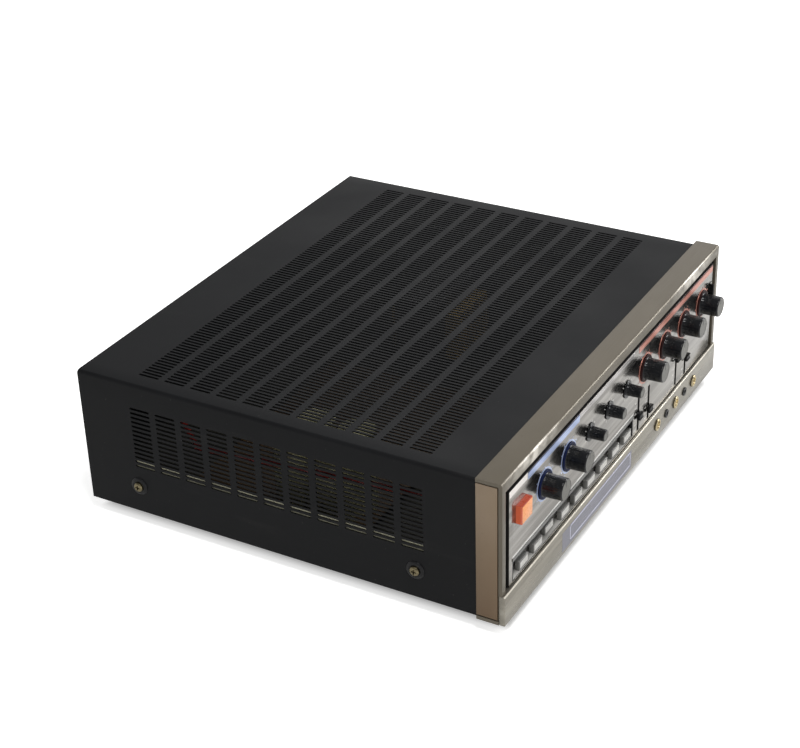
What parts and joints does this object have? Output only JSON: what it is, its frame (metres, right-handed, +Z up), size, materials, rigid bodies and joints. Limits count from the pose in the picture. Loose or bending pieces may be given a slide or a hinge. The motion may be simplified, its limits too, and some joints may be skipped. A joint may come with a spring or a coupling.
{
  "type": "karaoke amplifier",
  "caption": "Wide low karaoke amplifier: slotted black cover, champagne front with knobs, sliders, push buttons, an orange power button and microphone sockets.",
  "frame": {"origin": "on the floor under the middle of the whole object's box", "axes": "+X along the front from the power button to the tone switch, +Y from the front to the rear, +Z up"},
  "size_m": [0.428, 0.3944, 0.131],
  "materials": {
    "cover_paint": "fine satin black paint",
    "zinc_steel": "yellow zinc-plated sheet",
    "black_plate": "flat black",
    "champagne": "champagne anodised, fine satin",
    "bar_champagne": "pale champagne anodised",
    "panel_metal": "satin warm silver",
    "black_plastic": "moulded black",
    "knob_black": "semi-gloss black",
    "power_orange": "glossy orange",
    "button_grey": "light grey",
    "control_metal": "pressed steel cans",
    "brass_plate": "bright gold",
    "board": "brown circuit board",
    "sink_metal": "extruded, plain",
    "cap_sleeve": "pale olive sleeve",
    "core_steel": "stacked laminations",
    "coil_tape": "taped winding",
    "wire_red": "red insulation",
    "socket_metal": "nickel plated",
    "foot_rubber": "black rubber",
    "screw_steel": "zinc plated",
    "washer_black": "black"
  },
  "bodies": {
    "case": {"top_cover": "cover_paint", "bottom_chassis": "zinc_steel", "rear_panel": "black_plate", "inner_front_plate": "black_plate", "front_frame": "champagne", "cheek_plates": "champagne", "lower_bar": "bar_champagne", "control_panel": "panel_metal", "button_channel": "black_plastic", "power_switch": "black_plastic", "rotary_controls": "control_metal", "push_switches": "black_plastic", "slide_controls": "control_metal", "tone_switch": "black_plastic", "mic_sockets": "black_plastic", "mic_nuts": "brass_plate", "mini_sockets": "black_plastic", "control_board": "board", "main_board": "board", "board_posts": "brass_plate", "heat_sink": "sink_metal", "power_transistors": "black_plastic", "filter_capacitors": "cap_sleeve", "transformer_core": "core_steel", "transformer_coil": "coil_tape", "mains_wire": "wire_red", "line_sockets": "socket_metal", "speaker_block": "black_plastic", "speaker_screws": "brass_plate", "cord_bush": "black_plastic", "fuse_holder": "black_plastic", "feet": "foot_rubber", "chassis_screws": "screw_steel", "side_screws": "brass_plate", "cup_washers": "washer_black"},
    "mic_1_knob": {"mic_1_knob": "knob_black"},
    "mic_2_knob": {"mic_2_knob": "knob_black"},
    "echo_knob": {"echo_knob": "knob_black"},
    "delay_knob": {"delay_knob": "knob_black"},
    "repeat_knob": {"repeat_knob": "knob_black"},
    "music_knob": {"music_knob": "knob_black"},
    "bass_knob": {"bass_knob": "knob_black"},
    "treble_knob": {"treble_knob": "knob_black"},
    "balance_knob": {"balance_knob": "knob_black"},
    "power_button": {"power_button": "power_orange"},
    "push_button_1": {"push_button_1": "button_grey"},
    "push_button_2": {"push_button_2": "button_grey"},
    "push_button_3": {"push_button_3": "button_grey"},
    "push_button_4": {"push_button_4": "button_grey"},
    "push_button_5": {"push_button_5": "button_grey"},
    "push_button_6": {"push_button_6": "button_grey"},
    "push_button_7": {"push_button_7": "button_grey"},
    "push_button_8": {"push_button_8": "button_grey"},
    "push_button_9": {"push_button_9": "button_grey"},
    "slider_1": {"slider_1": "knob_black"},
    "slider_2": {"slider_2": "knob_black"},
    "slider_3": {"slider_3": "knob_black"},
    "slider_4": {"slider_4": "knob_black"},
    "tone_lever": {"tone_lever": "black_plastic"}
  },
  "joints": [
    {"name": "mic_1_knob_turn", "type": "hinge", "parent": "case", "child": "mic_1_knob", "pos_m": [-0.141, -0.1803, 0.091], "axis": [0, 1, 0], "range_deg": [-150, 150]},
    {"name": "mic_2_knob_turn", "type": "hinge", "parent": "case", "child": "mic_2_knob", "pos_m": [-0.099, -0.1803, 0.091], "axis": [0, 1, 0], "range_deg": [-150, 150]},
    {"name": "echo_knob_turn", "type": "hinge", "parent": "case", "child": "echo_knob", "pos_m": [-0.06, -0.1803, 0.091], "axis": [0, 1, 0], "range_deg": [-150, 150]},
    {"name": "delay_knob_turn", "type": "hinge", "parent": "case", "child": "delay_knob", "pos_m": [-0.024, -0.1803, 0.091], "axis": [0, 1, 0], "range_deg": [-150, 150]},
    {"name": "repeat_knob_turn", "type": "hinge", "parent": "case", "child": "repeat_knob", "pos_m": [0.012, -0.1803, 0.091], "axis": [0, 1, 0], "range_deg": [-150, 150]},
    {"name": "music_knob_turn", "type": "hinge", "parent": "case", "child": "music_knob", "pos_m": [0.05, -0.1803, 0.091], "axis": [0, 1, 0], "range_deg": [-150, 150]},
    {"name": "bass_knob_turn", "type": "hinge", "parent": "case", "child": "bass_knob", "pos_m": [0.092, -0.1803, 0.091], "axis": [0, 1, 0], "range_deg": [-150, 150]},
    {"name": "treble_knob_turn", "type": "hinge", "parent": "case", "child": "treble_knob", "pos_m": [0.134, -0.1803, 0.091], "axis": [0, 1, 0], "range_deg": [-150, 150]},
    {"name": "balance_knob_turn", "type": "hinge", "parent": "case", "child": "balance_knob", "pos_m": [0.176, -0.1803, 0.091], "axis": [0, 1, 0], "range_deg": [-150, 150]},
    {"name": "power_button_press", "type": "slide", "parent": "case", "child": "power_button", "axis": [0, 1, 0], "range_m": [0, 0.003], "stiffness_N_per_m": 600},
    {"name": "push_button_1_press", "type": "slide", "parent": "case", "child": "push_button_1", "axis": [0, 1, 0], "range_m": [0, 0.0025], "stiffness_N_per_m": 300},
    {"name": "push_button_2_press", "type": "slide", "parent": "case", "child": "push_button_2", "axis": [0, 1, 0], "range_m": [0, 0.0025], "stiffness_N_per_m": 300},
    {"name": "push_button_3_press", "type": "slide", "parent": "case", "child": "push_button_3", "axis": [0, 1, 0], "range_m": [-0.0023, 0], "stiffness_N_per_m": 300},
    {"name": "push_button_4_press", "type": "slide", "parent": "case", "child": "push_button_4", "axis": [0, 1, 0], "range_m": [0, 0.0025], "stiffness_N_per_m": 300},
    {"name": "push_button_5_press", "type": "slide", "parent": "case", "child": "push_button_5", "axis": [0, 1, 0], "range_m": [0, 0.0025], "stiffness_N_per_m": 300},
    {"name": "push_button_6_press", "type": "slide", "parent": "case", "child": "push_button_6", "axis": [0, 1, 0], "range_m": [0, 0.0025], "stiffness_N_per_m": 300},
    {"name": "push_button_7_press", "type": "slide", "parent": "case", "child": "push_button_7", "axis": [0, 1, 0], "range_m": [0, 0.0025], "stiffness_N_per_m": 300},
    {"name": "push_button_8_press", "type": "slide", "parent": "case", "child": "push_button_8", "axis": [0, 1, 0], "range_m": [0, 0.0025], "stiffness_N_per_m": 300},
    {"name": "push_button_9_press", "type": "slide", "parent": "case", "child": "push_button_9", "axis": [0, 1, 0], "range_m": [0, 0.0025], "stiffness_N_per_m": 300},
    {"name": "slider_1_slide", "type": "slide", "parent": "case", "child": "slider_1", "axis": [0, 0, 1], "range_m": [-0.01145, 0.01405]},
    {"name": "slider_2_slide", "type": "slide", "parent": "case", "child": "slider_2", "axis": [0, 0, 1], "range_m": [-0.00715, 0.01835]},
    {"name": "slider_3_slide", "type": "slide", "parent": "case", "child": "slider_3", "axis": [0, 0, 1], "range_m": [-0.02385, 0.00165]},
    {"name": "slider_4_slide", "type": "slide", "parent": "case", "child": "slider_4", "axis": [0, 0, 1], "range_m": [-0.01425, 0.01125]},
    {"name": "tone_lever_slide", "type": "slide", "parent": "case", "child": "tone_lever", "axis": [0, 0, 1], "range_m": [-0.0027, 0.0027]}
  ]
}
